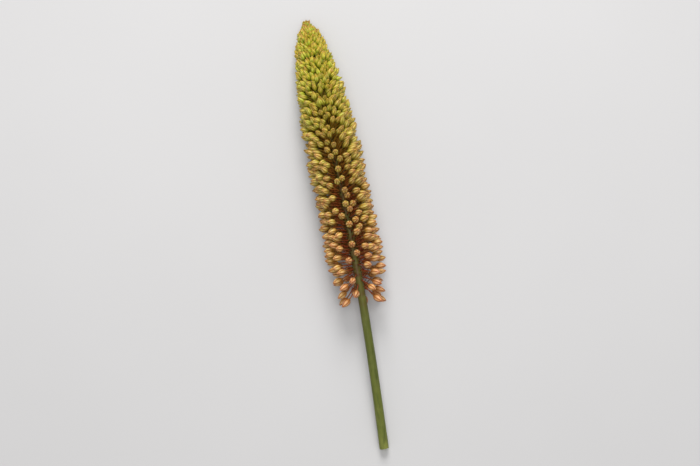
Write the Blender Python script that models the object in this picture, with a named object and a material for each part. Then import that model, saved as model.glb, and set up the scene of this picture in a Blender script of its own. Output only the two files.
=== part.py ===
"""A foxtail lily flower spike in bud, cut and laid down on a table.

Metres, +Z up. The cut end of the stem points along -Y and the tip of the spike along +Y. The table is the
plane Z = 0. There are two pieces: the bare stem, and the spike that it carries, which is one body of axis,
stalks and buds.

Places on the spike are given as a share of its length, 0 at its foot and 1 at its tip.
"""

import math
import random
from collections import namedtuple

import bmesh
import bpy
from mathutils import Vector

# Driving dimensions
TOTAL_LENGTH = 0.600  # along the axis, from the cut end to the tip
SPIKE_LENGTH = 0.385  # the stretch that carries buds
SPIKE_RADIUS = 0.0425  # from the axis to the bud tips, where the spike is widest
SPIKE_FOOT = TOTAL_LENGTH - SPIKE_LENGTH

# The line of the axis
AXIS_HEIGHT = 0.0335  # over the table, at the top of its arch
ARCH_TOP = 0.330  # distance from the cut end to the top of the arch
SWAY = 0.006  # sideways swing
HALF_SWAYS = 1.25  # half turns of that swing over the whole length

# Outline of the spike
FOOT_WIDTH = 0.80  # its radius at the foot, as a share of the widest
FOOT_END = 0.12  # where it has widened to its full radius
TIP_POWER = 3.0  # the higher, the later it narrows
TIP_ROUNDNESS = 0.48  # the lower, the blunter its tip

# Stem and axis
CUT_END_RADIUS = 0.0066
FOOT_RADIUS = 0.0058
TIP_RADIUS = 0.0011
STEM_SIDES = 16
STEM_RINGS = 9
AXIS_SIDES = 8
AXIS_RINGS = 14
LAST_RING = 0.002  # from the last ring to the tip
RINGS_CLOSING = 1.6  # how strongly the rings close up towards the tip, where the outline bends most
JOINT_GAP = 0.0003  # between the stem's upper face and the spike's lower face
CROWDED_FROM = 0.30  # from here upwards, crowded small stalks thicken the axis
CROWDED_OVER = 0.32  # the share over which they do so
CROWDED_RADIUS = 0.55  # of that thick axis, as a share of the spike's own radius

# Buds
LENGTH_LOW = 0.0140
LENGTH_HIGH = 0.0110
LENGTH_SETTLES = 0.85  # where a bud's length has come down to the high one
GIRTH_LOW = 0.70  # thickness over the corners, as a share of the length
GIRTH_HIGH = 0.80
TIP_SIZE = 0.6  # of the topmost buds, as a share of the size that the values above give
TIP_FROM = 0.85  # from here upwards they shrink to it
BELLY = 0.40  # where a bud is thickest, as a share of its length from its foot
STALKED_SIDES = 6
TAPERED_SIDES = 5

# Where the buds stand
FIRST_BUD = 0.030
LAST_BUD = 0.985
SPACING_LOOSE = 0.0172  # between neighbouring buds, at their bellies, while they hang loosely
SPACING_LOW = 0.0148  # and above that
SPACING_HIGH = 0.0109
SPACING_SETTLES = 0.60  # where the spacing has come down to the high one
SLIMMEST = 0.0035  # the smallest radius at which the spacing is kept
GOLDEN_TURN = math.radians(137.508)
TURN_SCATTER = math.radians(5.0)
SEED = 7

# Stalks
LEAN_LOW = math.radians(87.0)  # between a stalk and the axis at the spike's foot
LEAN_HIGH = math.radians(24.0)  # and at its tip
LEAN_POWER = 2.8  # the higher, the later the stalks close up to the axis
LOOSE_END = 0.15  # below this, the buds hang more and more loosely
LOOSE_DROOP = math.radians(44.0)  # by which stalks at the foot would hang back towards the cut end
OUTLINE_STEP = 0.0002  # by which the search for the spike's outline moves outwards
STALK_RADIUS = 0.00085
SHORTEST_STALK = 0.0015
STALK_SCATTER = 0.05  # random share added to or taken from each stalk's length
STALKED_END = 0.47  # below this, buds stand on long thin stalks, and above it they taper to their roots
ROOT_DEPTH = 0.0012  # of a root under the flat sides of the axis
ROOT_STEP = 0.0004  # by which the search for that place moves outwards

# Buds on the table
TABLE_SINK = 0.0003  # how far a bud that meets the table would press into it
TURN_STEP = math.radians(2.0)  # by which such a bud is turned up

# Colours and finish, as the photographed spikes show them
STEM_GREEN = (0.075, 0.130, 0.030, 1.0)
BUD_TAN = (0.430, 0.250, 0.080, 1.0)
WAXY = 0.5
SMOOTH_BELOW = math.radians(70.0)  # edges that bend less than this are shaded smooth

Bud = namedtuple("Bud", "root foot direction length radius stalked")


def clear_scene():
    for old in list(bpy.data.objects):
        bpy.data.objects.remove(old)


def smooth(value):
    """Runs smoothly from 0 to 1 as the value does."""
    value = min(max(value, 0.0), 1.0)
    return value * value * (3.0 - 2.0 * value)


def blend(low, high, share):
    return low + (high - low) * share


def axis_point(along):
    """The middle of the stem at a distance from its cut end: a shallow arch that sways a little sideways."""
    sideways = SWAY * math.sin(HALF_SWAYS * math.pi * along / TOTAL_LENGTH)
    drop = (AXIS_HEIGHT - CUT_END_RADIUS) * ((along - ARCH_TOP) / ARCH_TOP) ** 2
    return Vector((sideways, along, AXIS_HEIGHT - drop))


def axis_frame(along):
    """The axis's forward, sideways and upward directions at a distance from the cut end."""
    step = 0.001
    forward = (axis_point(along + step) - axis_point(along - step)).normalized()
    sideways = forward.cross(Vector((0.0, 0.0, 1.0))).normalized()
    return forward, sideways, sideways.cross(forward)


def spike_radius(share):
    """The bud tips' distance from the axis: drawn in at the foot, full over the lower half, blunt on top."""
    foot = blend(FOOT_WIDTH, 1.0, smooth(share / FOOT_END))
    return SPIKE_RADIUS * foot * max(1.0 - share**TIP_POWER, 0.0) ** TIP_ROUNDNESS


def axis_radius(along):
    """The stem tapers evenly up to the spike, whose crowded middle then widens it and ends in the tip."""
    if along <= SPIKE_FOOT:
        return blend(CUT_END_RADIUS, FOOT_RADIUS, along / SPIKE_FOOT)
    share = (along - SPIKE_FOOT) / SPIKE_LENGTH
    bare = blend(FOOT_RADIUS, TIP_RADIUS, share)
    crowded = smooth((share - CROWDED_FROM) / CROWDED_OVER)
    return max(bare, blend(bare, CROWDED_RADIUS * spike_radius(share), crowded))


def bud_size(share):
    """A bud's length and its radius over the corners."""
    tip = blend(1.0, TIP_SIZE, smooth((share - TIP_FROM) / (1.0 - TIP_FROM)))
    length = tip * blend(LENGTH_LOW, LENGTH_HIGH, smooth(share / LENGTH_SETTLES))
    return length, 0.5 * length * blend(GIRTH_LOW, GIRTH_HIGH, share)


def lean(share):
    """The angle between a stalk and the axis."""
    droop = LOOSE_DROOP * (1.0 - smooth(share / LOOSE_END))
    return blend(LEAN_LOW, LEAN_HIGH, share**LEAN_POWER) + droop


def outline_reach(share, tilt):
    """How far from the axis's middle a line that leans by tilt passes through the spike's outline."""
    reach = 0.0
    while reach * math.sin(tilt) <= spike_radius(min(share + reach * math.cos(tilt) / SPIKE_LENGTH, 1.0)):
        reach += OUTLINE_STEP
    return reach


def share_of_one_bud(share):
    """How far up the spike the next bud is, so that neighbours stand one spacing apart all round it."""
    spacing = blend(SPACING_LOW, SPACING_HIGH, smooth(share / SPACING_SETTLES))
    spacing = blend(SPACING_LOOSE, spacing, smooth(share / LOOSE_END))
    length, _ = bud_size(share)
    belly_radius = max(spike_radius(share) - (1.0 - BELLY) * length, SLIMMEST)
    return spacing**2 / (2.0 * math.pi * belly_radius * SPIKE_LENGTH)


def tube_rings(start, end, count, sides, closing=1.0):
    """Rings of points round the axis, all square to Y so that the faces between them are flat.

    They are evenly spaced where closing is 1, and come closer together towards the end where it is more.
    """
    turns = [2.0 * math.pi * (side + 0.5) / sides for side in range(sides)]
    rings = []
    for number in range(count):
        along = blend(end, start, (1.0 - number / (count - 1)) ** closing)
        middle = axis_point(along)
        radius = axis_radius(along)
        rings.append([middle + radius * Vector((math.cos(turn), 0.0, math.sin(turn))) for turn in turns])
    return rings


def solid_from_rings(name, rings, tip=None):
    """A closed solid through rings of points: a flat face on each end, or a point beyond the last ring."""
    body = bmesh.new()
    loops = [[body.verts.new(point) for point in ring] for ring in rings]
    body.faces.new(loops[0])
    for lower, upper in zip(loops, loops[1:]):
        sides = len(lower)
        for side in range(sides):
            after = (side + 1) % sides
            body.faces.new((lower[side], lower[after], upper[after], upper[side]))
    last = body.faces.new(loops[-1])
    if tip is not None:
        bmesh.ops.poke(body, faces=[last])
        body.verts.ensure_lookup_table()
        body.verts[-1].co = tip
    bmesh.ops.triangulate(body, faces=body.faces)
    return finished(name, body)


def closed_solid(name, points, faces):
    """A closed solid from its points and the points of each face."""
    body = bmesh.new()
    corners = [body.verts.new(point) for point in points]
    for face in faces:
        body.faces.new([corners[number] for number in face])
    return finished(name, body)


def finished(name, body):
    """The object that a bmesh makes, with its faces pointing out."""
    bmesh.ops.recalc_face_normals(body, faces=body.faces)
    mesh = bpy.data.meshes.new(name)
    body.to_mesh(mesh)
    body.free()
    return bpy.data.objects.new(name, mesh)


def ring_round(middle, direction, radius, sides, twist):
    """A ring square to a direction. With a twist of half a side, the middle of one side faces down."""
    sideways = direction.cross(Vector((0.0, 0.0, 1.0))).normalized()
    up = sideways.cross(direction)
    turns = [2.0 * math.pi * side / sides + twist - 0.5 * math.pi for side in range(sides)]
    return [middle + radius * (math.cos(turn) * sideways + math.sin(turn) * up) for turn in turns]


def rest_on_table(foot, direction, length, flank):
    """Turns a bud that reaches under the table up, at most until its flank lies flat, and then lifts it.

    The flank is the distance from the bud's middle line to its flat sides, at the belly.
    """

    def lowest(climb):
        belly = foot.z + BELLY * length * math.sin(climb) - flank * math.cos(climb)
        return min(belly, foot.z + length * math.sin(climb))

    level = Vector((direction.x, direction.y, 0.0)).normalized()
    climb = math.asin(direction.z)
    flat_climb = -math.atan(flank / ((1.0 - BELLY) * length))
    while lowest(climb) < -TABLE_SINK and climb < flat_climb:
        climb = min(climb + TURN_STEP, flat_climb)
    lift = max(-TABLE_SINK - lowest(climb), 0.0)
    turned = level * math.cos(climb) + Vector((0.0, 0.0, math.sin(climb)))
    return foot + Vector((0.0, 0.0, lift)), turned


def root_reach(along, tilt):
    """How far from the axis's middle a stalk that leans by tilt has its root, still well inside the axis."""
    reach = 0.0
    while True:
        further = reach + ROOT_STEP
        there = min(along + further * math.cos(tilt), TOTAL_LENGTH)
        flat_side = axis_radius(there) * math.cos(math.pi / AXIS_SIDES)
        if further * math.sin(tilt) > flat_side - ROOT_DEPTH:
            return reach
        reach = further


def bud_at(share, turn, scatter):
    """The bud at a share of the spike and a turn round it, with its stalk longer by a scattered share."""
    along = SPIKE_FOOT + SPIKE_LENGTH * share
    forward, sideways, up = axis_frame(along)
    tilt = lean(share)
    outward = math.cos(turn) * sideways + math.sin(turn) * up
    direction = math.sin(tilt) * outward + math.cos(tilt) * forward
    length, radius = bud_size(share)

    root = root_reach(along, tilt)
    reach = max((outline_reach(share, tilt) - length) * (1.0 + scatter), root + SHORTEST_STALK)

    stalked = share < STALKED_END
    sides = STALKED_SIDES if stalked else TAPERED_SIDES
    middle = axis_point(along)
    flank = radius * math.cos(math.pi / sides)
    foot, settled = rest_on_table(middle + reach * direction, direction, length, flank)
    return Bud(middle + root * direction, foot, settled, length, radius, stalked)


def all_buds():
    """The buds from the foot of the spike up, each a golden turn on from the one before."""
    draw = random.Random(SEED)
    buds = []
    share = FIRST_BUD
    while share < LAST_BUD:
        turn = len(buds) * GOLDEN_TURN + draw.uniform(-TURN_SCATTER, TURN_SCATTER)
        buds.append(bud_at(share, turn, draw.uniform(-STALK_SCATTER, STALK_SCATTER)))
        share += share_of_one_bud(share)
    return buds


def above_table(points):
    """The same points, with those under the table lifted to it, which leaves a flat spot there."""
    return [Vector((point.x, point.y, max(point.z, 0.0))) for point in points]


def stalked_bud(name, bud):
    """A three-sided stalk with flat sides that opens into a bud with twice as many sides."""
    corners = STALKED_SIDES // 2
    twist = math.pi / STALKED_SIDES
    root = ring_round(bud.root, bud.direction, STALK_RADIUS, corners, twist)
    neck = ring_round(bud.foot, bud.direction, STALK_RADIUS, corners, twist)
    middle = bud.foot + BELLY * bud.length * bud.direction
    belly = ring_round(middle, bud.direction, bud.radius, STALKED_SIDES, twist)
    tip = bud.foot + bud.length * bud.direction
    points = above_table(root + neck + belly + [tip])
    tip_number = len(points) - 1
    faces = [tuple(range(corners))]
    for side in range(corners):
        after = (side + 1) % corners
        neck_here, neck_after = corners + side, corners + after
        here = 2 * corners + 2 * side
        between = here + 1
        beyond = 2 * corners + 2 * after
        faces += [
            (side, after, neck_after),
            (side, neck_after, neck_here),
            (neck_here, between, here),
            (neck_here, neck_after, between),
            (neck_after, beyond, between),
            (here, between, tip_number),
            (between, beyond, tip_number),
        ]
    return closed_solid(name, points, faces)


def tapered_bud(name, bud):
    """A bud that narrows all the way down to its root."""
    middle = bud.foot + BELLY * bud.length * bud.direction
    belly = ring_round(middle, bud.direction, bud.radius, TAPERED_SIDES, math.pi / TAPERED_SIDES)
    tip = bud.foot + bud.length * bud.direction
    points = above_table(belly + [bud.root, tip])
    root_number, tip_number = TAPERED_SIDES, TAPERED_SIDES + 1
    faces = []
    for side in range(TAPERED_SIDES):
        after = (side + 1) % TAPERED_SIDES
        faces += [(root_number, after, side), (side, after, tip_number)]
    return closed_solid(name, points, faces)


def fuse(carrier, pieces):
    """Joins all the pieces to the carrier as one body, and removes them."""
    group = bpy.data.collections.new("Repeats")
    bpy.context.scene.collection.children.link(group)
    for piece in pieces:
        group.objects.link(piece)
    join = carrier.modifiers.new("Join", "BOOLEAN")
    join.operand_type = "COLLECTION"
    join.collection = group
    join.operation = "UNION"
    bpy.context.view_layer.update()
    evaluated = carrier.evaluated_get(bpy.context.evaluated_depsgraph_get())
    fused = bpy.data.meshes.new_from_object(evaluated)
    carrier.modifiers.clear()
    carrier.data = fused
    for piece in pieces:
        bpy.data.objects.remove(piece)
    bpy.data.collections.remove(group)


def dress(piece, name, colour):
    """Gives a piece its own waxy material, and shades its rounder edges smooth."""
    finish = bpy.data.materials.new(name)
    finish.use_nodes = True
    shader = finish.node_tree.nodes["Principled BSDF"]
    shader.inputs["Base Color"].default_value = colour
    shader.inputs["Roughness"].default_value = WAXY
    shader.inputs["Metallic"].default_value = 0.0
    piece.data.materials.clear()
    piece.data.materials.append(finish)
    piece.data.shade_smooth()
    piece.data.set_sharp_from_angle(angle=SMOOTH_BELOW)


def build_stem():
    """The bare stem, from its square cut end up to the face that meets the spike."""
    end = SPIKE_FOOT - 0.5 * JOINT_GAP
    stem = solid_from_rings("stem", tube_rings(0.0, end, STEM_RINGS, STEM_SIDES))
    bpy.context.scene.collection.objects.link(stem)
    dress(stem, "stem_green", STEM_GREEN)
    return stem


def build_spike():
    """The spike: its tapering axis with every stalk and bud fused to it."""
    start = SPIKE_FOOT + 0.5 * JOINT_GAP
    rings = tube_rings(start, TOTAL_LENGTH - LAST_RING, AXIS_RINGS, AXIS_SIDES, RINGS_CLOSING)
    spike = solid_from_rings("flower_spike", rings, tip=axis_point(TOTAL_LENGTH))
    bpy.context.scene.collection.objects.link(spike)
    buds = []
    for number, bud in enumerate(all_buds()):
        shape = stalked_bud if bud.stalked else tapered_bud
        buds.append(shape(f"bud_{number:03d}", bud))
    fuse(spike, buds)
    dress(spike, "bud_tan", BUD_TAN)
    return spike


def centre_on_origin(pieces):
    """Moves the meshes so that the origin lies in the middle of the object's footprint, on the table."""
    points = [vertex.co for piece in pieces for vertex in piece.data.vertices]
    middle = [0.5 * (min(p[k] for p in points) + max(p[k] for p in points)) for k in range(2)]
    for piece in pieces:
        for vertex in piece.data.vertices:
            vertex.co.x -= middle[0]
            vertex.co.y -= middle[1]


clear_scene()
centre_on_origin([build_stem(), build_spike()])
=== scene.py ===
"""The looks of a foxtail lily flower spike in bud, cut and laid down on a pale table.

Metres, +Z up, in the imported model's frame: the cut end of the stem points along -Y and the tip of the spike
along +Y. Places on the spike are given as a share of its length, 0 at its foot and 1 at its tip.
"""

import bpy
import numpy as np
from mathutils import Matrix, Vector


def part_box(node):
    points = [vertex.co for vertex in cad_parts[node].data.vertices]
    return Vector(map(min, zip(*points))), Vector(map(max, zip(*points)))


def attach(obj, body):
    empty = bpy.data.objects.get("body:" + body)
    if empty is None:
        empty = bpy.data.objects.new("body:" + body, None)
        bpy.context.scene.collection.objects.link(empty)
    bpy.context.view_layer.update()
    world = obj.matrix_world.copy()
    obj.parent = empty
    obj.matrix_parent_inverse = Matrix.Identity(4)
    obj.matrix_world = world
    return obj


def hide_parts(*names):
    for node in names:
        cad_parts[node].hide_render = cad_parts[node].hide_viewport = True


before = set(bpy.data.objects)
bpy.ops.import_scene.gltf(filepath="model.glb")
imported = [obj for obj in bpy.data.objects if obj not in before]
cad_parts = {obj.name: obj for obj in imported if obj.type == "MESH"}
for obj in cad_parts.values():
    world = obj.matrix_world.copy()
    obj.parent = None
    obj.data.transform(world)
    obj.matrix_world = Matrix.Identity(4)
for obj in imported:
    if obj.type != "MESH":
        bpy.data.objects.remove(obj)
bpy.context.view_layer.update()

# The bare stem: a round, fleshy green stem without leaves, which grew in one with the spike above it. Fine
# ribs run along it under a faint waxy bloom. It was cut off square: its end shows pale pith in a darker rind.

AXIS_LENGTH = 0.600  # from the cut end to the tip of the spike
SPIKE_LENGTH = 0.385  # the stretch of it that carries buds
SPIKE_FOOT = AXIS_LENGTH - SPIKE_LENGTH
ARCH_HEIGHT = 0.0335  # of the axis over the table, at the top of its arch
ARCH_TOP = 0.330  # distance from the cut end to that top
SWAY = 0.006  # sideways swing
HALF_SWAYS = 1.25  # half turns of that swing over the whole length
CUT_RADIUS = 0.0066
FOOT_RADIUS = 0.0058
TIP_RADIUS = 0.0011
SOLID_CORNER = np.cos(np.pi / 16)  # the solid stem's reach to the side, as a share of its radius
STEM_SIDES = 48
STEM_RINGS = 60
FIRST_RING = 0.0010  # from the cut end to the lowest full ring
RIBS = 11
RIB_DEPTH = 0.02  # as a share of the radius
RIB_WANDER = 0.6  # how far the ribs turn to either side on their way up, in radians
RIB_WAVES = 9.0  # how much of that swing fits on the bare stem, in radians
FACE_RINGS = np.array([0.0, 0.35, 0.7, 0.9, 0.97, 1.0])  # on the cut face, as shares of its radius
FACE_DEPTHS = np.array([0.0006, 0.0006, 0.0004, 0.0001, 0.0, 0.0003])  # how deep each of these lies
JOINT_OVERLAP = 0.0015  # by which stem and axis run into each other
JOINT_START = 0.1  # where the ends that hide in each other narrow, as a share of that overlap
JOINT_NARROW = 0.9  # and how wide they are there, as a share of the radius
SHARP_FROM = np.radians(40.0)  # edges that bend more than this stay sharp
FLUSH_REACH = 0.03  # over which the brown flush sets in, down and up the stem from the spike's foot

cut_corner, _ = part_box("stem")


def blend(low, high, share):
    """From low to high, in step with the share."""
    return low + (high - low) * share


def unit(vectors):
    """The same vectors, each one long."""
    return vectors / np.linalg.norm(vectors, axis=-1, keepdims=True)


def axis_line(along):
    """The middle of the axis at distances from the cut end: a parabola over the table, swaying as a sine."""
    swing = SWAY * np.sin(HALF_SWAYS * np.pi * along / AXIS_LENGTH)
    sideways = cut_corner.x + CUT_RADIUS * SOLID_CORNER + swing
    height = ARCH_HEIGHT - (ARCH_HEIGHT - CUT_RADIUS) * ((along - ARCH_TOP) / ARCH_TOP) ** 2
    return np.stack([sideways, cut_corner.y + along, height], axis=-1)


def rings_along(middles, forward, beside, radii, sides):
    """Rings round the points of a path: middle, plus radius times the cosine and the sine of a full turn.

    Each ring is square to forward, turns to the right round it, and starts square to beside.
    """
    across = unit(np.cross(forward, beside))
    over = np.cross(forward, across)
    turns = 2.0 * np.pi * np.arange(sides) / sides
    rim = np.cos(turns)[:, None] * across[..., None, :] + np.sin(turns)[:, None] * over[..., None, :]
    return middles[..., None, :] + radii[..., None] * rim


def closed_skins(name, grid, lengthwise, finishes, bands=None, **values):
    """One piece of many closed skins, from grid[skin, ring, side], whose end rings are single points.

    Four-sided faces join the rings and three-sided ones close the ends. The UV map holds the share round and
    the given lengthwise place of each ring. bands numbers the finish between rings, and values go to each
    skin's points.
    """
    skins, rings, sides, _ = grid.shape
    corners = np.concatenate([grid[:, :1, 0], grid[:, 1:-1].reshape(skins, -1, 3), grid[:, -1:, 0]], axis=1)
    count = corners.shape[1]
    side = np.arange(sides)
    after = (side + 1) % sides
    ring = 1 + sides * np.arange(rings - 2)[:, None]
    walls = np.stack([ring[:-1] + side, ring[:-1] + after, ring[1:] + after, ring[1:] + side], axis=-1)
    foot = np.stack([0 * side, 1 + after, 1 + side], axis=-1)
    top = np.stack([ring[-1] + side, ring[-1] + after, 0 * side + count - 1], axis=-1)
    first = count * np.arange(skins)[:, None, None]
    walls = (walls.reshape(-1, 4) + first).reshape(-1, 4)
    fans = (np.concatenate([foot, top]) + first).reshape(-1, 3)

    low = np.repeat(lengthwise[1:-2], sides)
    high = np.repeat(lengthwise[2:-1], sides)
    here, there = np.tile(side, rings - 3), np.tile(side + 1, rings - 3)
    wall_map = np.stack([here, low, there, low, there, high, here, high], axis=-1)
    near, far = 0 * side + lengthwise[1], 0 * side + lengthwise[-2]
    foot_map = np.stack([side + 0.5, 0 * side + lengthwise[0], side + 1, near, side, near], axis=-1)
    top_map = np.stack([side, far, side + 1, far, side + 0.5, 0 * side + lengthwise[-1]], axis=-1)
    fan_map = np.concatenate([foot_map, top_map])
    places = np.concatenate([np.tile(wall_map.ravel(), skins), np.tile(fan_map.ravel(), skins)])
    places[0::2] /= sides

    mesh = bpy.data.meshes.new(name)
    mesh.from_pydata(corners.reshape(-1, 3), [], walls.tolist() + fans.tolist())
    mesh.uv_layers.new(name="UVMap").data.foreach_set("uv", places)
    for key, value in values.items():
        mesh.attributes.new(key, "FLOAT", "POINT").data.foreach_set("value", np.repeat(value, count))
    for finish in finishes:
        mesh.materials.append(finish)
    if bands is not None:
        wall_bands = np.repeat(bands[1:-1], sides)
        fan_bands = np.repeat([bands[0], bands[-1]], sides)
        numbers = np.concatenate([np.tile(wall_bands, skins), np.tile(fan_bands, skins)])
        mesh.polygons.foreach_set("material_index", numbers.astype(np.int32))
    mesh.shade_smooth()
    piece = bpy.data.objects.new(name, mesh)
    bpy.context.scene.collection.objects.link(piece)
    return piece


def colour(red, green, blue):
    """A colour as a screen shows it, 0 to 255, turned by the screens' usual curve into amounts of light."""
    shown = np.array([red, green, blue]) / 255.0
    return (*np.where(shown <= 0.04045, shown / 12.92, ((shown + 0.055) / 1.055) ** 2.4), 1.0)


def node(tree, kind, inputs=None, **settings):
    """A new node with its settings, and a value or a link for each input that is named or numbered."""
    made = tree.nodes.new(kind)
    for key, value in settings.items():
        setattr(made, key, value)
    for key, value in (inputs or {}).items():
        if isinstance(value, bpy.types.NodeSocket):
            tree.links.new(value, made.inputs[key])
        else:
            made.inputs[key].default_value = value
    return made


def sums(tree, operation, *values):
    """One operation on one, two or three values."""
    return node(tree, "ShaderNodeMath", dict(enumerate(values)), operation=operation).outputs[0]


def noise(tree, place, scale, detail):
    """Cloudy noise from 0 to 1, finer with a higher scale and rougher with more detail."""
    return node(tree, "ShaderNodeTexNoise", {"Vector": place, "Scale": scale, "Detail": detail}).outputs[0]


def steps(tree, value, *stops):
    """Colours over a value from 0 to 1, blended between stops of a place, red, green and blue."""
    made = node(tree, "ShaderNodeValToRGB", {0: value})
    marks = made.color_ramp.elements
    marks.remove(marks[1])
    marks[0].position, marks[0].color = stops[0][0], colour(*stops[0][1:])
    for place, *tint in stops[1:]:
        marks.new(place).color = colour(*tint)
    return made.outputs[0]


def span(tree, value, low, high, start=0.0, end=1.0):
    """A value that runs smoothly from start to end while the given one runs from low to high."""
    inputs = {"Value": value, "From Min": low, "From Max": high, "To Min": start, "To Max": end}
    return node(tree, "ShaderNodeMapRange", inputs, interpolation_type="SMOOTHSTEP").outputs[0]


def mixed(tree, share, first, second, blend_type="MIX"):
    """Two colours, blended by a share. The node's inputs 6 and 7 and its output 2 are its colours."""
    inputs = {"Factor": share, 6: first, 7: second}
    return node(tree, "ShaderNodeMix", inputs, data_type="RGBA", blend_type=blend_type).outputs[2]


def new_finish(name, roughness, specular):
    """A material's node tree and shader, with its even gloss set on the shader itself."""
    finish = bpy.data.materials.new(name)
    finish.use_nodes = True
    shader = finish.node_tree.nodes["Principled BSDF"]
    shader.inputs["Roughness"].default_value = roughness
    shader.inputs["Specular IOR Level"].default_value = specular
    return finish, finish.node_tree, shader


def new_effect(name, inputs, outputs):
    """An empty effect for several materials, with its named inputs, their first values, and its outputs."""
    tree = bpy.data.node_groups.new(name, "ShaderNodeTree")
    for key, kind, value in inputs:
        made = tree.interface.new_socket(key, in_out="INPUT", socket_type=f"NodeSocket{kind}")
        if value is not None:
            made.default_value = value
    for key, kind in outputs:
        tree.interface.new_socket(key, in_out="OUTPUT", socket_type=f"NodeSocket{kind}")
    return tree, tree.nodes.new("NodeGroupInput").outputs, tree.nodes.new("NodeGroupOutput")


def plant_fibres():
    """Fibres: noise that darkens and lightens a colour by Contrast, and stands up from the skin by Depth."""
    inputs = [
        ("Place", "Vector", None),
        ("Fibres", "Float", 900.0),
        ("Contrast", "Float", 0.2),
        ("Depth", "Float", 0.0001),
    ]
    tree, given, result = new_effect("plant_fibres", inputs, [("Shade", "Float"), ("Normal", "Vector")])
    fine = noise(tree, given["Place"], scale=given["Fibres"], detail=3.0)
    low = sums(tree, "SUBTRACT", 1.0, given["Contrast"])
    high = sums(tree, "ADD", 1.0, given["Contrast"])
    limits = {"Value": fine, "From Min": 0.3, "From Max": 0.7, "To Min": low, "To Max": high}
    shade = node(tree, "ShaderNodeMapRange", limits).outputs[0]
    bump = node(tree, "ShaderNodeBump", {"Strength": 1.0, "Distance": given["Depth"], "Height": fine})
    tree.links.new(shade, result.inputs["Shade"])
    tree.links.new(bump.outputs[0], result.inputs["Normal"])
    return tree


fibres = plant_fibres()


def shaded(tree, tint, shade):
    """A colour made darker or lighter by a shade of about 1."""
    grey = node(tree, "ShaderNodeCombineColor", {0: shade, 1: shade, 2: shade}).outputs[0]
    return mixed(tree, 1.0, tint, grey, "MULTIPLY")


def with_fibres(tree, shader, skin, place, scale, contrast, depth):
    """Gives the shader a skin's colour, shaded by the fibres, and their relief."""
    inputs = {"Place": place, "Fibres": scale, "Contrast": contrast, "Depth": depth}
    grown = node(tree, "ShaderNodeGroup", inputs, node_tree=fibres)
    tree.links.new(shaded(tree, skin, grown.outputs["Shade"]), shader.inputs["Base Color"])
    tree.links.new(grown.outputs["Normal"], shader.inputs["Normal"])


def stem_green():
    """Streaked green skin with a patchy bloom, paler at the cut end and flushed with brown among the buds."""
    finish, tree, shader = new_finish("stem_green", roughness=0.48, specular=0.28)
    place = node(tree, "ShaderNodeTexCoord").outputs["Object"]
    drawn = node(tree, "ShaderNodeMapping", {"Vector": place, "Scale": (1.0, 0.035, 1.0)}).outputs[0]
    along = node(tree, "ShaderNodeSeparateXYZ", {0: place}).outputs[1]
    skin = steps(
        tree,
        sums(tree, "DIVIDE", sums(tree, "SUBTRACT", along, cut_corner.y), AXIS_LENGTH),
        (0.0, 122, 126, 60),
        (0.05, 96, 104, 40),
        (0.30, 80, 86, 30),
        (0.42, 94, 88, 32),
        (0.70, 104, 96, 34),
        (1.0, 150, 160, 50),
    )
    streaks = noise(tree, drawn, scale=260.0, detail=2.0)
    skin = mixed(tree, span(tree, streaks, 0.45, 0.75, 0.0, 0.55), skin, colour(54, 66, 24))
    foot = cut_corner.y + SPIKE_FOOT
    flush = span(tree, noise(tree, place, scale=120.0, detail=3.0), 0.42, 0.66, 0.0, 0.8)
    flush = sums(tree, "MULTIPLY", flush, span(tree, along, foot - FLUSH_REACH, foot + FLUSH_REACH))
    skin = mixed(tree, flush, skin, colour(84, 50, 24))
    bloom = noise(tree, place, scale=55.0, detail=4.0)
    skin = mixed(tree, span(tree, bloom, 0.5, 0.75, 0.0, 0.3), skin, colour(124, 124, 70))
    with_fibres(tree, shader, skin, drawn, scale=1500.0, contrast=0.16, depth=0.00012)
    tree.links.new(span(tree, bloom, 0.35, 0.7, 0.38, 0.58), shader.inputs["Roughness"])
    return finish


def cut_pith():
    """The cut face: pale pith with darker dots where the vessels end, and a green rind at the rim."""
    finish, tree, shader = new_finish("cut_pith", roughness=0.6, specular=0.3)
    place = node(tree, "ShaderNodeTexCoord").outputs["Object"]
    out = node(tree, "ShaderNodeSeparateXYZ", {0: node(tree, "ShaderNodeUVMap").outputs[0]}).outputs[1]
    flesh = steps(
        tree, out, (0.0, 214, 214, 164), (0.7, 200, 204, 140), (0.9, 150, 162, 84), (1.0, 112, 124, 58)
    )
    flat = node(tree, "ShaderNodeMapping", {"Vector": place, "Scale": (1.0, 0.0, 1.0)}).outputs[0]
    dots = node(tree, "ShaderNodeTexVoronoi", {"Vector": flat, "Scale": 1100.0}).outputs["Distance"]
    flesh = mixed(tree, span(tree, dots, 0.12, 0.3, 0.6, 0.0), flesh, colour(140, 140, 74))
    bump = node(tree, "ShaderNodeBump", {"Strength": 0.6, "Distance": 0.0002, "Height": dots})
    tree.links.new(flesh, shader.inputs["Base Color"])
    tree.links.new(bump.outputs[0], shader.inputs["Normal"])
    return finish


def axis_radius(along):
    """The radius, which shrinks evenly from the cut end to the spike's foot, and again on to the tip."""
    below = blend(CUT_RADIUS, FOOT_RADIUS, along / SPIKE_FOOT)
    above = blend(FOOT_RADIUS, TIP_RADIUS, (along - SPIKE_FOOT) / SPIKE_LENGTH)
    return np.where(along < SPIKE_FOOT, below, above)


def axis_grid(along, out):
    """Rings square to Y at a share of the radius, less ribs: a cosine round, which wanders as a sine."""
    turns = 2.0 * np.pi * np.arange(STEM_SIDES) / STEM_SIDES
    wander = RIB_WANDER * np.sin(RIB_WAVES * along / SPIKE_FOOT)[:, None]
    ribs = 1.0 - RIB_DEPTH * (0.5 + 0.5 * np.cos(RIBS * turns + wander))
    radii = (out * axis_radius(along))[:, None] * ribs
    forward, upward = np.array([0.0, 1.0, 0.0]), np.array([0.0, 0.0, 1.0])
    return rings_along(axis_line(along), forward, upward, radii, STEM_SIDES)[None]


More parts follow.
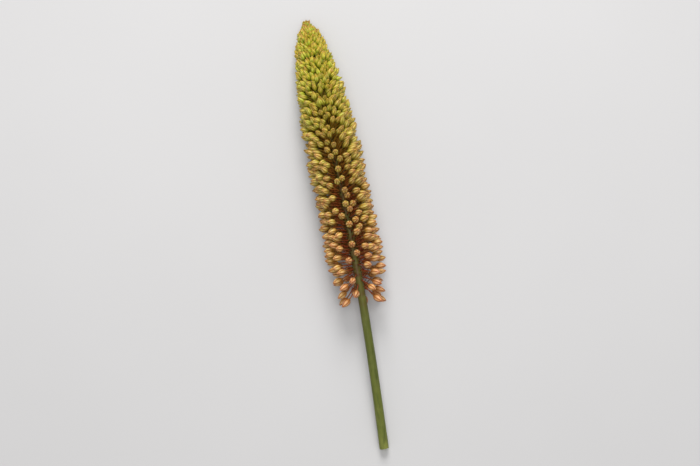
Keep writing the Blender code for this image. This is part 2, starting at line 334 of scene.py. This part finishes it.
up_stem = np.linspace(FIRST_RING, SPIKE_FOOT, STEM_RINGS)
hidden = [SPIKE_FOOT + JOINT_START * JOINT_OVERLAP, SPIKE_FOOT + JOINT_OVERLAP]
along = np.concatenate([FACE_DEPTHS, up_stem, hidden])
out = np.concatenate([FACE_RINGS, np.ones(STEM_RINGS), [JOINT_NARROW, 0.0]])
lengthwise = np.concatenate([FACE_RINGS, along[FACE_RINGS.size :] / AXIS_LENGTH])
bands = np.where(np.arange(along.size - 1) < FACE_RINGS.size - 1, 1, 0)
stem_finish = stem_green()
bare_stem = closed_skins("bare_stem", axis_grid(along, out), lengthwise, [stem_finish, cut_pith()], bands)
bare_stem.data.set_sharp_from_angle(angle=SHARP_FROM)
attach(bare_stem, "root")
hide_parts("stem")

# The axis in the spike: the same stem, which runs on between the buds and thins out to the tip. Its skin is
# the stem's, flushed with brown. It and the bare stem run into each other, and each stalk grows out of it.

AXIS_RINGS = 60

up_axis = np.linspace(SPIKE_FOOT, AXIS_LENGTH - TIP_RADIUS, AXIS_RINGS)
hidden = [SPIKE_FOOT - JOINT_OVERLAP, SPIKE_FOOT - JOINT_START * JOINT_OVERLAP]
along = np.concatenate([hidden, up_axis, [AXIS_LENGTH]])
out = np.concatenate([[0.0, JOINT_NARROW], np.ones(AXIS_RINGS), [0.0]])
spike_axis = closed_skins("spike_axis", axis_grid(along, out), along / AXIS_LENGTH, [stem_finish])
spike_axis.data.set_sharp_from_angle(angle=SHARP_FROM)
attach(spike_axis, "root")
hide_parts("flower_spike")

# The stalks: a thin wiry stalk carries each bud, on a spiral all round the axis. They are long, brown and
# nearly square to it low down, and short, green and steep towards the tip. Axis, stalks and buds grew in one,
# so the places where the buds settle are worked out here too.

SPIKE_RADIUS = 0.0425  # from the axis to the bud tips, where the spike is widest
FOOT_WIDTH = 0.80  # its radius at the foot, as a share of the widest
FOOT_END = 0.12  # where it has widened to its full radius
TIP_POWER = 3.8  # the higher, the further up it starts to narrow
TIP_ROUNDNESS = 0.48  # the lower, the blunter its tip
LENGTH_LOW = 0.0158  # of a bud at the foot
LENGTH_HIGH = 0.0072  # and at the tip
LENGTH_POWER = 3.6  # the higher, the later the buds grow shorter
GIRTH_LOW = 0.60  # a bud's thickness at the foot, as a share of its length
GIRTH_HIGH = 0.37  # and at the tip
SIZE_SCATTER = 0.09  # the most that a bud is shorter or longer than its neighbours, as a share
BELLY = 0.42  # where a bud is thickest, as a share of its length from its foot
COVER_LOOSE = 0.34  # share of the spike's shell that the buds cover at the loose foot
COVER_LOW = 0.41  # above it
COVER_HIGH = 1.45  # and at the tip
COVER_POWER = 1.6  # the higher, the later they crowd together
COVER_STEPS = 4001  # in which the buds are counted up the spike
SLIMMEST = 0.0025  # the smallest shell radius that is counted
GOLDEN_TURN = np.radians(137.508)  # round the axis, from each bud to the next one up
TURN_SCATTER = np.radians(6.0)  # the most that a bud is off that
LEAN_LOW = np.radians(87.0)  # between a stalk and the axis at the spike's foot
LEAN_HIGH = np.radians(22.0)  # and at its tip
LEAN_POWER = 2.2  # the higher, the later they grow steep
LEAN_SCATTER = np.radians(5.0)  # the most that a stalk is off that at the foot
WILDER = 1.8  # how much more it is at the tip, as a multiple
LOWEST_BUD = 0.03  # where the lowest stalk stands
LOOSE_END = 0.10  # up to here the buds hang loosely
LOOSE_FADE = 0.05  # over which they close up above that
LOOSE_DROOP = np.radians(44.0)  # by which they lean down there at the most
FURTHEST = 0.07  # a bud's tip is looked for up to this far from its root
OUTLINE_STEPS = 701  # in which it is looked for
SHORTEST_STALK = 0.0012
SCATTER_LOW = 0.10  # how unevenly the stalks' lengths scatter at the foot, as a share of them
SCATTER_HIGH = 0.26  # and at the tip
SCATTER_ENDS = (-1.0, 0.3)  # how much of that makes one shorter, and how much longer
SAG = np.radians(10.0)  # by which the stalks at the sides sink
PARTING = 0.9  # how far the buds stand apart over the axis on top, where it shows between them
PARTING_POWER = 6  # the higher, the narrower that gap
PARTING_END = (0.5, 0.7)  # between these places it closes
CLIMBS = np.radians(np.arange(-90.0, 91.0, 2.0))  # the slopes that a bud near the table may take
CLIMB_SLACK = 0.02  # by which it may take a lower slope than its own, in radians
NO_CLIMB = np.radians(-20.0)  # the slope of a bud that clears the table at none of these
BALL_PLACES = np.array([0.33, 0.70])  # of the two balls that stand for a bud, as shares of its length
BALL_SIZES = np.array([0.97, 0.74])  # and their radii, as shares of the bud's
ROUNDS = 60  # in which the balls are pushed apart
ROUNDS_PER_LOOK = 10  # after so many of them, the balls near each other are looked for again
NEAR = 0.003  # a gap at which balls still count as near each other
TOUCH = 0.96  # how close two balls come, as a share of the distance at which they touch
PUSH_BACK = 0.4  # the part of an overlap that each of the two balls gives way
PULL_HOME = 0.04  # the part of its way home that a ball goes in a round
NEXT_ONES = 400  # how many of the following buds on the spiral can meet a bud
STALK_SIDES = 5
STALK_RINGS = 6
STALK_RADIUS = 0.00075  # at the foot
STALK_THINNEST = 0.6  # what is left of it at the spike's tip
STALK_SWELL = np.array([1.4, 1.05, 0.95, 0.95, 1.1, 1.6])  # its thickness from root to neck
SQUARER = np.radians(6.0)  # by which a stalk starts squarer to the axis than it ends
SQUAREST = np.radians(86.0)  # the most that it starts away from the axis
ROOT_LOWERED = 0.02  # how far down the axis a stalk is rooted, as a share of its length
ROOT_DEPTH = 0.8  # how far out in the axis, as a share of the axis's radius
NECK_DEPTH = 0.04  # how far it runs into its bud, as a share of the bud's length
STALK_PULL = 0.9  # how strongly it holds the directions of its two ends, as a share of its length

draw = np.random.default_rng(7)


def smooth(value):
    """Runs smoothly from 0 to 1 as the value does: three times its square less twice its cube."""
    value = np.clip(value, 0.0, 1.0)
    return value * value * (3.0 - 2.0 * value)


def spike_radius(share):
    """The bud tips' distance from the axis: one less a power of the share, itself to a power.

    At the foot it is drawn in by a smooth step.
    """
    foot = blend(FOOT_WIDTH, 1.0, smooth(share / FOOT_END))
    return SPIKE_RADIUS * foot * np.clip(1.0 - share**TIP_POWER, 0.0, 1.0) ** TIP_ROUNDNESS


def bud_length(share):
    """From the foot's length to the tip's, in step with a power of the share."""
    return blend(LENGTH_LOW, LENGTH_HIGH, share**LENGTH_POWER)


def bud_radius(share):
    """Half a bud's length times its girth, which goes in step with the square of the share."""
    return 0.5 * bud_length(share) * blend(GIRTH_LOW, GIRTH_HIGH, share**2)


def bud_places():
    """The buds' shares, so that they cover the given part of the shell: its area over a bud's, added up."""
    fine = np.linspace(LOWEST_BUD, 1.0, COVER_STEPS)
    shell = np.maximum(spike_radius(fine) - (1.0 - BELLY) * bud_length(fine), SLIMMEST)
    closed = smooth((fine - LOOSE_END) / LOOSE_FADE)
    cover = blend(COVER_LOOSE, blend(COVER_LOW, COVER_HIGH, fine**COVER_POWER), closed)
    crowd = 2.0 * shell * cover / bud_radius(fine) ** 2
    count = np.cumsum(crowd) * SPIKE_LENGTH * (1.0 - LOWEST_BUD) / fine.size
    return np.interp(np.arange(0.5, count[-1]), count, fine)


def to_outline(share, lean):
    """How far from the axis a leaning line first comes outside the spike's outline, tried in small steps."""
    far = np.linspace(0.0, FURTHEST, OUTLINE_STEPS)
    there = share[:, None] + far * np.cos(lean)[:, None] / SPIKE_LENGTH
    outside = far * np.sin(lean)[:, None] > spike_radius(np.clip(there, 0.0, 1.0))
    return far[np.argmax(outside, axis=1)]


def axis_directions(along):
    """The axis's forward, sideways and upward directions, forward being the way between two near points."""
    step = 0.001
    forward = unit(axis_line(along + step) - axis_line(along - step))
    sideways = unit(np.cross(forward, [0.0, 0.0, 1.0]))
    return forward, sideways, np.cross(sideways, forward)


def over_table(foot, direction, length, radius):
    """Gives each bud the first slope, in steps up from its own, at which its belly and tip clear the table.

    The height of the tip is the foot's plus the length times the slope's sine, and that of the belly's lowest
    point is less by the radius times the cosine. A bud that never clears it is lifted later, when all settle.
    """
    level = unit(direction * [1.0, 1.0, 0.0])
    belly = foot[:, 2:] + length[:, None] * BELLY * np.sin(CLIMBS) - radius[:, None] * np.cos(CLIMBS)
    tip = foot[:, 2:] + length[:, None] * np.sin(CLIMBS)
    clear = (np.minimum(belly, tip) > 0.0) & (CLIMBS > np.arcsin(direction[:, 2:]) - CLIMB_SLACK)
    climb = np.where(clear.any(axis=1), CLIMBS[np.argmax(clear, axis=1)], NO_CLIMB)
    return level * np.cos(climb)[:, None] + np.array([0.0, 0.0, 1.0]) * np.sin(climb)[:, None]


def settled(foot, direction, length, radius):
    """Pushes the buds apart where they meet, and up where they meet the table.

    Each bud is two balls a fixed distance apart, one at its belly and one nearer its tip. Where balls of
    different buds are closer than they may be, each gives way by a part of that, straight away from the
    other, and all are drawn weakly home.
    """
    balls = foot[:, None] + direction[:, None] * (length[:, None] * BALL_PLACES)[..., None]
    sizes = radius[:, None] * BALL_SIZES
    home = balls.copy()
    apart = (BALL_PLACES[1] - BALL_PLACES[0]) * length
    size = sizes.ravel()
    bud, later = np.meshgrid(np.arange(len(foot)), np.arange(1, NEXT_ONES + 1))
    bud, later = bud[bud + later < len(foot)], (bud + later)[bud + later < len(foot)]
    first = np.concatenate([2 * bud, 2 * bud, 2 * bud + 1, 2 * bud + 1])
    second = np.concatenate([2 * later, 2 * later + 1, 2 * later, 2 * later + 1])
    for turn in range(ROUNDS):
        flat = balls.reshape(-1, 3)
        if turn % ROUNDS_PER_LOOK == 0:
            gap = np.linalg.norm(flat[first] - flat[second], axis=-1) - size[first] - size[second]
            one, other = first[gap < NEAR], second[gap < NEAR]
        between = flat[one] - flat[other]
        distance = np.linalg.norm(between, axis=-1)
        push = np.maximum(TOUCH * (size[one] + size[other]) - distance, 0.0)
        shift = between * (PUSH_BACK * push / distance)[:, None]
        moved = flat.copy()
        np.add.at(moved, one, shift)
        np.add.at(moved, other, -shift)
        balls = moved.reshape(balls.shape)
        balls += PULL_HOME * (home - balls)
        balls[..., 2] = np.maximum(balls[..., 2], sizes)
        middle = balls.mean(axis=1, keepdims=True)
        half = unit(balls[:, 1] - balls[:, 0]) * (0.5 * apart)[:, None]
        balls = middle + np.stack([-half, half], axis=1)
    direction = unit(balls[:, 1] - balls[:, 0])
    return balls[:, 0] - direction * (BALL_PLACES[0] * length)[:, None], direction


share = bud_places()
along = SPIKE_FOOT + SPIKE_LENGTH * share
count = share.size
forward, sideways, up = axis_directions(along)
turn = np.arange(count) * GOLDEN_TURN + draw.uniform(-TURN_SCATTER, TURN_SCATTER, count)
parting = PARTING * (1.0 - smooth((share - PARTING_END[0]) / (PARTING_END[1] - PARTING_END[0])))
turn = turn - (SAG + parting * np.clip(np.sin(turn), 0.0, 1.0) ** PARTING_POWER) * np.cos(turn)
outward = np.cos(turn)[:, None] * sideways + np.sin(turn)[:, None] * up
droop = LOOSE_DROOP * (1.0 - smooth(share / (LOOSE_END + LOOSE_FADE)))
lean = blend(LEAN_LOW, LEAN_HIGH, share**LEAN_POWER) + droop
lean = lean + draw.uniform(-LEAN_SCATTER, LEAN_SCATTER, count) * blend(1.0, WILDER, share)
heading = np.sin(lean)[:, None] * outward + np.cos(lean)[:, None] * forward
length = bud_length(share) * (1.0 + draw.uniform(-SIZE_SCATTER, SIZE_SCATTER, count))
radius = bud_radius(share)
uneven = draw.uniform(*SCATTER_ENDS, count) * blend(SCATTER_LOW, SCATTER_HIGH, share)
reach = (to_outline(share, lean) - length) * (1.0 + uneven)
reach = np.maximum(reach, axis_radius(along) + SHORTEST_STALK)
foot = axis_line(along) + reach[:, None] * heading
heading = over_table(foot, heading, length, radius)
foot, heading = settled(foot, heading, length, radius)
tone = draw.uniform(0.0, 1.0, count)


def closed_ends(rings, start, end):
    """The rings between two more, which are the given points repeated, so that each skin closes there."""
    points = [np.repeat(point[:, None, None], rings.shape[2], axis=2) for point in (start, end)]
    return np.concatenate([points[0], rings, points[1]], axis=1)


def stalk_grid():
    """Each stalk is a cubic curve from its root to its bud, which starts squarer and ends along the bud.

    It is the sum of its two ends and their two directions, each times its own cubic of the share passed.
    """
    squarer = np.minimum(lean + SQUARER, SQUAREST)
    start = np.sin(squarer)[:, None] * outward + np.cos(squarer)[:, None] * forward
    lowered = along - ROOT_LOWERED * reach
    root = axis_line(lowered) + ROOT_DEPTH * axis_radius(lowered)[:, None] * outward
    size = np.linalg.norm(foot - root, axis=-1)[:, None]
    start, end = start * size * STALK_PULL, heading * size * STALK_PULL
    neck = foot + NECK_DEPTH * length[:, None] * heading
    h = np.linspace(0.0, 1.0, STALK_RINGS)[None, :, None]
    line = (2 * h**3 - 3 * h**2 + 1) * root[:, None] + (h**3 - 2 * h**2 + h) * start[:, None]
    line = line + (3 * h**2 - 2 * h**3) * neck[:, None] + (h**3 - h**2) * end[:, None]
    slope = (6 * h**2 - 6 * h) * (root - neck)[:, None] + (3 * h**2 - 4 * h + 1) * start[:, None]
    slope = unit(slope + (3 * h**2 - 2 * h) * end[:, None])
    thick = STALK_RADIUS * blend(1.0, STALK_THINNEST, share)[:, None] * STALK_SWELL
    line[..., 2] = np.maximum(line[..., 2], thick)
    radii = thick[..., None] * np.ones(STALK_SIDES)
    rings = rings_along(line, slope, forward[:, None], radii, STALK_SIDES)
    return closed_ends(rings, line[:, 0], line[:, -1])


def stalk_skin():
    """Wiry skin: red-brown low on the spike, tan further up and yellow-green at the tip, with green roots."""
    finish, tree, shader = new_finish("stalk_skin", roughness=0.6, specular=0.08)
    high = node(tree, "ShaderNodeAttribute", attribute_name="ripeness").outputs["Fac"]
    wrap = node(tree, "ShaderNodeUVMap").outputs[0]
    out = node(tree, "ShaderNodeSeparateXYZ", {0: wrap}).outputs[1]
    skin = steps(
        tree,
        high,
        (0.0, 138, 60, 38),
        (0.35, 154, 80, 40),
        (0.60, 184, 138, 44),
        (0.80, 190, 182, 46),
        (1.0, 176, 180, 44),
    )
    neck = steps(tree, high, (0.0, 150, 104, 64), (0.5, 148, 122, 60), (1.0, 140, 150, 56))
    skin = mixed(tree, span(tree, out, 0.55, 0.98), skin, neck)
    skin = mixed(tree, span(tree, out, 0.05, 0.28, 1.0, 0.0), skin, colour(92, 88, 40))
    drawn = node(tree, "ShaderNodeMapping", {"Vector": wrap, "Scale": (1.0, 0.2, 1.0)}).outputs[0]
    with_fibres(tree, shader, skin, drawn, scale=14.0, contrast=0.2, depth=0.0001)
    return finish


lengthwise = np.concatenate([[0.0], np.linspace(0.02, 0.98, STALK_RINGS), [1.0]])
stalks = closed_skins("stalks", stalk_grid(), lengthwise, [stalk_skin()], ripeness=share)
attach(stalks, "root")
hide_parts("flower_spike")

# The bracts: a hair-like leaf stands just under the root of each stalk, grown in one with the axis. Low down
# it is dry, dark and curled, and shows as a fine thread. Further up it is green with a flushed tip.

BRACT_LOW = 0.0175  # length at the foot
BRACT_HIGH = 0.0150  # and at the tip
BRACT_CROWN = 0.85  # above this place they grow shorter
BRACT_SHORTEST = 0.5  # what is left of their length at the very tip
BRACT_SCATTER = (0.75, 1.15)  # the shortest and the longest, as shares of that length
BRACT_LEAN = np.radians(68.0)  # the most that one leans away from the axis
BRACT_ASIDE = 0.35  # the most that one points to either side at the foot, as a share of its way out
BRACT_CURL = 0.55  # how far one bends up the axis at the foot, as a share of its length
BRACT_CURL_LEFT = 0.3  # the part of that bend that is left at the tip
BRACT_TWIST = 0.3  # the most that the bend is off in any direction
BRACT_UNDER_LOW = 0.0012  # how far one is rooted under its stalk's root at the foot
BRACT_UNDER_HIGH = 0.0003  # and under its bud's flank at the tip
BRACT_DEPTH = 0.85  # how far out in the axis it is rooted, as a share of the axis's radius
BRACT_RADIUS = 0.00055  # at the foot
BRACT_THINNEST = 0.75  # what is left of it at the spike's tip
BRACT_SIDES = 3
BRACT_RINGS = 4
BRACT_SWELL = np.array([1.0, 0.75, 0.5, 0.22])  # its thickness from root to tip
BRACT_POINT = 0.0006  # how far its point stands out from its last ring
BRACT_CLEAR = 0.0002  # how high it stays over the table


def bract_grid():
    """A parabola for each: its root, plus the share passed times its way out and its square times a bend."""
    crown = blend(1.0, BRACT_SHORTEST, smooth((share - BRACT_CROWN) / (1.0 - BRACT_CROWN)))
    reached = blend(BRACT_LOW, BRACT_HIGH, share) * crown * draw.uniform(*BRACT_SCATTER, count)
    under_stalk = ROOT_LOWERED * reach + BRACT_UNDER_LOW
    under_bud = radius / np.sin(lean) + BRACT_UNDER_HIGH
    below = blend(under_stalk, under_bud, share)
    root = axis_line(along - below) + BRACT_DEPTH * axis_radius(along - below)[:, None] * outward
    tilt = np.minimum(lean, BRACT_LEAN)
    aside = (draw.uniform(-BRACT_ASIDE, BRACT_ASIDE, count) * (1.0 - share))[:, None]
    away = np.sin(tilt)[:, None] * outward + np.cos(tilt)[:, None] * forward
    away = unit(away + unit(np.cross(forward, outward)) * aside) * reached[:, None]
    bend = BRACT_CURL * forward + draw.uniform(-BRACT_TWIST, BRACT_TWIST, (count, 3))
    bend = bend * (reached * blend(1.0, BRACT_CURL_LEFT, share))[:, None]
    h = np.linspace(0.0, 1.0, BRACT_RINGS)[None, :, None]
    line = root[:, None] + h * away[:, None] + h**2 * bend[:, None]
    slope = unit(away[:, None] + 2.0 * h * bend[:, None])
    thick = BRACT_RADIUS * blend(1.0, BRACT_THINNEST, share)
    radii = (thick[:, None] * BRACT_SWELL)[..., None] * np.ones(BRACT_SIDES)
    rings = rings_along(line, slope, forward[:, None], radii, BRACT_SIDES)
    grid = closed_ends(rings, line[:, 0], line[:, -1] + slope[:, -1] * BRACT_POINT)
    grid[..., 2] = np.maximum(grid[..., 2], BRACT_CLEAR)
    return grid


def bract_paper():
    """Papery skin: dark red-brown with fawn tips low on the spike, green with flushed tips at its top."""
    finish, tree, shader = new_finish("bract_paper", roughness=0.75, specular=0.06)
    high = node(tree, "ShaderNodeAttribute", attribute_name="ripeness").outputs["Fac"]
    wrap = node(tree, "ShaderNodeUVMap").outputs[0]
    out = node(tree, "ShaderNodeSeparateXYZ", {0: wrap}).outputs[1]
    low = steps(tree, out, (0.0, 104, 54, 22), (0.6, 96, 42, 16), (1.0, 164, 112, 66))
    top = steps(tree, out, (0.0, 140, 150, 40), (0.5, 166, 138, 62), (1.0, 206, 140, 92))
    skin = mixed(tree, span(tree, high, 0.45, 0.85), low, top)
    place = node(tree, "ShaderNodeTexCoord").outputs["Object"]
    with_fibres(tree, shader, skin, place, scale=700.0, contrast=0.25, depth=0.0001)
    return finish


lengthwise = np.concatenate([[0.0], np.linspace(0.02, 0.92, BRACT_RINGS), [1.0]])
bracts = closed_skins("bracts", bract_grid(), lengthwise, [bract_paper()], ripeness=share)
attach(bracts, "root")
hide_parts("flower_spike")

# The buds: closed flowers, each a pointed egg of six petals that overlap, with a dark keel down the middle of
# each petal. Low down they are full, peach and tan. Upwards they are smaller, slimmer and greener, with
# blushed tips. Each stands on the end of its stalk.

PETALS = 6.0
BUD_SIDES = 12
BUD_RINGS = np.array([0.0, 0.05, 0.19, 0.39, 0.60, 0.79, 0.94, 1.0])
EGG_POWER = 0.8  # the lower, the nearer to its foot a bud is thickest
EGG_FULLNESS = 0.62  # the lower, the blunter its foot
EGG_DRAWN_OUT = 0.22  # by which that power is higher at its tip
KEEL_HEIGHT = 0.02  # of a petal's keel over the groove between two petals, as a share of the radius
BUD_BEND = 0.05  # how far a bud's middle stands off the line between its ends, as a share of its length
PLUMP_SCATTER = 0.06  # the most that a bud is thinner or thicker than its neighbours, as a share
RIPENESS_SCATTER = 0.03  # how unevenly neighbours ripen, as a share of the spike
ZONES = (  # the pieces, and the places on the spike between which their buds stand
    ("lower_buds", 0.0, 0.33),
    ("middle_buds", 0.33, 0.60),
    ("upper_buds", 0.60, 0.82),
    ("crown_buds", 0.82, 1.01),
)


def bud_grid(chosen):
    """An egg with its tip drawn out: the radius is the sine of half a turn times the share raised to a power.

    That sine is raised to a power that grows towards the tip. The keels follow the cosine of six turns round,
    and the middle line bends sideways as a sine.
    """
    v = BUD_RINGS
    girth = np.sin(np.pi * v**EGG_POWER).clip(0.0) ** (EGG_FULLNESS + EGG_DRAWN_OUT * v)
    turns = 2.0 * np.pi * np.arange(BUD_SIDES) / BUD_SIDES
    keels = 1.0 + KEEL_HEIGHT * np.cos(PETALS * turns)
    radii = radius[chosen, None, None] * girth[:, None] * keels
    size = int(chosen.sum())
    plump = 1.0 + draw.uniform(-PLUMP_SCATTER, PLUMP_SCATTER, (size, 1, 1))
    spin = draw.uniform(0.0, 2.0 * np.pi, size)
    beside = unit(np.cross(heading[chosen], forward[chosen]))
    other = np.cross(heading[chosen], beside)
    beside = np.cos(spin)[:, None] * beside + np.sin(spin)[:, None] * other
    bend = BUD_BEND * draw.uniform(0.0, 1.0, size) * length[chosen]
    line = foot[chosen, None] + v[:, None] * (length[chosen, None] * heading[chosen])[:, None]
    line = line + np.sin(np.pi * v)[:, None] * (bend[:, None] * beside)[:, None]
    grid = rings_along(line, heading[chosen, None], beside[:, None], radii * plump, BUD_SIDES)
    grid[..., 2] = np.maximum(grid[..., 2], 0.0)
    return grid


def bud_skin():
    """Waxy mottled petals, coloured by their height on the spike, with keels, blushed tips, greener feet
    darkened by painted shade, and painted shade in the seams between petals.
    """
    finish, tree, shader = new_finish("bud_skin", roughness=0.4, specular=0.32)
    shader.inputs["Subsurface Weight"].default_value = 0.35
    shader.inputs["Subsurface Radius"].default_value = (1.0, 0.7, 0.2)
    shader.inputs["Subsurface Scale"].default_value = 0.003
    high = node(tree, "ShaderNodeAttribute", attribute_name="ripeness").outputs["Fac"]
    tone = node(tree, "ShaderNodeAttribute", attribute_name="tone").outputs["Fac"]
    place = node(tree, "ShaderNodeTexCoord").outputs["Object"]
    wrap = node(tree, "ShaderNodeSeparateXYZ", {0: node(tree, "ShaderNodeUVMap").outputs[0]})
    round_it, out = wrap.outputs[0], wrap.outputs[1]

    # The petals' own colour, greener in patches and browner on one bud in five.
    petal = steps(
        tree,
        high,
        (0.0, 214, 143, 84),
        (0.12, 208, 141, 70),
        (0.22, 198, 146, 60),
        (0.40, 188, 154, 56),
        (0.60, 190, 170, 48),
        (0.80, 202, 186, 48),
        (0.90, 190, 158, 38),
        (1.0, 164, 108, 44),
    )
    green = steps(
        tree, high, (0.0, 200, 156, 88), (0.35, 174, 168, 56), (0.86, 136, 168, 18), (1.0, 158, 120, 30)
    )
    mottle = noise(tree, place, scale=80.0, detail=3.0)
    greener = span(tree, sums(tree, "ADD", mottle, sums(tree, "MULTIPLY", tone, 0.25)), 0.52, 0.76)
    petal = mixed(tree, greener, petal, green)
    browner = span(tree, sums(tree, "FRACT", sums(tree, "MULTIPLY", tone, 7.3)), 0.8, 1.0, 0.0, 0.55)
    petal = mixed(tree, browner, petal, colour(178, 106, 52))

    # A keel down each petal, its pale margins and the groove at its edges, drawn in where the bud is thin.
    # The keels are weaker on the three inner petals, at both ends and high on the spike.
    wave = sums(tree, "FRACT", sums(tree, "ADD", sums(tree, "MULTIPLY", round_it, PETALS), 0.5))
    off_keel = sums(tree, "ABSOLUTE", sums(tree, "SUBTRACT", wave, 0.5))
    girth = sums(tree, "SINE", sums(tree, "MULTIPLY", sums(tree, "POWER", out, EGG_POWER), np.pi))
    aside = sums(tree, "MULTIPLY", off_keel, sums(tree, "POWER", girth, 0.8))
    aside = sums(tree, "MULTIPLY_ADD", noise(tree, place, scale=420.0, detail=2.0), 0.05, aside)
    keel = span(tree, aside, 0.09, 0.23, 1.0, 0.0)
    margin = span(tree, aside, 0.18, 0.36)
    groove = span(tree, off_keel, 0.45, 0.5)
    outer = sums(tree, "COSINE", sums(tree, "MULTIPLY", round_it, PETALS * np.pi))
    drawn_in = sums(tree, "MULTIPLY", keel, span(tree, outer, -1.0, 1.0, 0.75, 1.0))
    drawn_in = sums(tree, "MULTIPLY", drawn_in, span(tree, out, 0.03, 0.25, 0.3, 1.0))
    drawn_in = sums(tree, "MULTIPLY", drawn_in, span(tree, out, 0.90, 1.0, 1.0, 0.2))
    drawn_in = sums(tree, "MULTIPLY", drawn_in, span(tree, high, 0.5, 0.85, 1.0, 0.6))

    # Blushed tips, cream margins, feet that are greener and darker (partly their own green, partly painted
    # shade deep among the stalks), painted shade in the seams, and the keels over them all.
    dark = steps(tree, high, (0.0, 132, 58, 22), (0.45, 118, 72, 16), (1.0, 150, 140, 26))
    blush = steps(tree, high, (0.0, 220, 158, 118), (0.5, 222, 174, 112), (1.0, 206, 142, 88))
    blushed = sums(tree, "MULTIPLY", span(tree, out, 0.55, 0.95), span(tree, high, 0.4, 0.8, 0.6, 0.36))
    petal = mixed(tree, blushed, petal, blush)
    cream = steps(
        tree, high, (0.0, 224, 182, 140), (0.3, 212, 188, 128), (0.85, 210, 200, 84), (1.0, 192, 156, 68)
    )
    petal = mixed(tree, sums(tree, "MULTIPLY", margin, 0.7), petal, cream)
    # Painted shade: the feet, deep among the stalks, are mixed towards a darker colour, which is partly their
    # own green.
    bottom = steps(tree, high, (0.0, 184, 112, 48), (0.5, 146, 140, 34), (1.0, 124, 164, 16))
    petal = mixed(tree, span(tree, out, 0.65, 0.15, 0.0, 0.85), petal, bottom)
    # Painted shade: the seams between the petals are darkened.
    petal = mixed(tree, sums(tree, "MULTIPLY", groove, 0.3), petal, dark)
    petal = mixed(tree, drawn_in, petal, dark)

    speckle = noise(tree, place, scale=1300.0, detail=2.0)
    shade = span(tree, tone, 0.0, 1.0, 0.88, 1.1)
    shade = sums(tree, "MULTIPLY", shade, span(tree, speckle, 0.3, 0.7, 0.93, 1.07))
    tree.links.new(shaded(tree, petal, shade), shader.inputs["Base Color"])
    tree.links.new(span(tree, mottle, 0.3, 0.7, 0.34, 0.46), shader.inputs["Roughness"])
    relief = sums(tree, "ADD", sums(tree, "MULTIPLY", keel, 0.6), sums(tree, "MULTIPLY", speckle, 0.3))
    relief = sums(tree, "SUBTRACT", relief, groove)
    bump = node(tree, "ShaderNodeBump", {"Strength": 0.8, "Distance": 0.0003, "Height": relief})
    tree.links.new(bump.outputs[0], shader.inputs["Normal"])
    return finish


bud_finish = bud_skin()
for name, low, high in ZONES:
    chosen = (share >= low) & (share < high)
    ripeness = np.clip(share[chosen] + draw.normal(0.0, RIPENESS_SCATTER, int(chosen.sum())), 0.0, 1.0)
    buds = closed_skins(name, bud_grid(chosen), BUD_RINGS, [bud_finish], ripeness=ripeness, tone=tone[chosen])
    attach(buds, "root")
    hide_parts("flower_spike")

# The table: a plain matt top, pale grey, level, and larger than the view. The rim of the stem's cut end and
# the lowest buds rest on it, and it is no part of the object.

TABLE_SIDE = 12.0


def table_grey():
    """Matt pale grey with hardly visible clouds."""
    finish, tree, shader = new_finish("table_grey", roughness=0.8, specular=0.2)
    clouds = noise(tree, node(tree, "ShaderNodeTexCoord").outputs["Object"], scale=3.0, detail=3.0)
    grey = mixed(tree, clouds, colour(192, 192, 194), colour(197, 197, 199))
    tree.links.new(grey, shader.inputs["Base Color"])
    return finish


table_corners = 0.5 * TABLE_SIDE * np.array([[-1, -1, 0], [1, -1, 0], [1, 1, 0], [-1, 1, 0]])
table_mesh = bpy.data.meshes.new("table_top")
table_mesh.from_pydata(table_corners, [], [(0, 1, 2, 3)])
table_mesh.materials.append(table_grey())
table_top = bpy.data.objects.new("table_top", table_mesh)
bpy.context.scene.collection.objects.link(table_top)

# Camera and light: the camera looks straight down on the lying spike, which leans ten degrees to the left in
# the picture. A large soft lamp hangs beyond the tip and a weaker one overhead, and the room is bright all
# round.

CAMERA_HEIGHT = 2.0
LEAN_IN_VIEW = np.radians(10.0)
SHOWN_WIDTH = 0.968  # what the picture is wide at the height of the axis
SENSOR = 36.0  # millimetres
LOOK_AT = (0.0, 0.004)
ROOM_LIGHT = 0.48  # how bright the room is, next to plain white

eye = bpy.data.cameras.new("eye")
eye.sensor_width = SENSOR
eye.lens = SENSOR * (CAMERA_HEIGHT - ARCH_HEIGHT) / SHOWN_WIDTH
camera = bpy.data.objects.new("eye", eye)
camera.location = (*LOOK_AT, CAMERA_HEIGHT)
camera.rotation_euler = (0.0, 0.0, -LEAN_IN_VIEW)
bpy.context.scene.collection.objects.link(camera)
bpy.context.scene.camera = camera


def soft_lamp(name, place, side, power, tint):
    """A square lamp at a place, turned to face the middle of the table."""
    light = bpy.data.lights.new(name, "AREA")
    light.size = side
    light.energy = power
    light.color = tint
    lamp = bpy.data.objects.new(name, light)
    lamp.location = place
    towards = Vector((0.0, 0.0, 0.0)) - Vector(place)
    lamp.rotation_euler = towards.to_track_quat("-Z", "Y").to_euler()
    bpy.context.scene.collection.objects.link(lamp)


soft_lamp("key", place=(0.5, 3.0, 2.3), side=1.8, power=146.0, tint=(1.0, 0.985, 0.96))
soft_lamp("fill", place=(0.0, 0.1, 1.95), side=1.2, power=13.0, tint=(1.0, 0.99, 0.97))

room = bpy.data.worlds.new("room")
room.use_nodes = True
room.node_tree.nodes["Background"].inputs["Color"].default_value = (1.0, 0.99, 0.97, 1.0)
room.node_tree.nodes["Background"].inputs["Strength"].default_value = ROOM_LIGHT
bpy.context.scene.world = room
bpy.context.scene.view_settings.view_transform = "Standard"
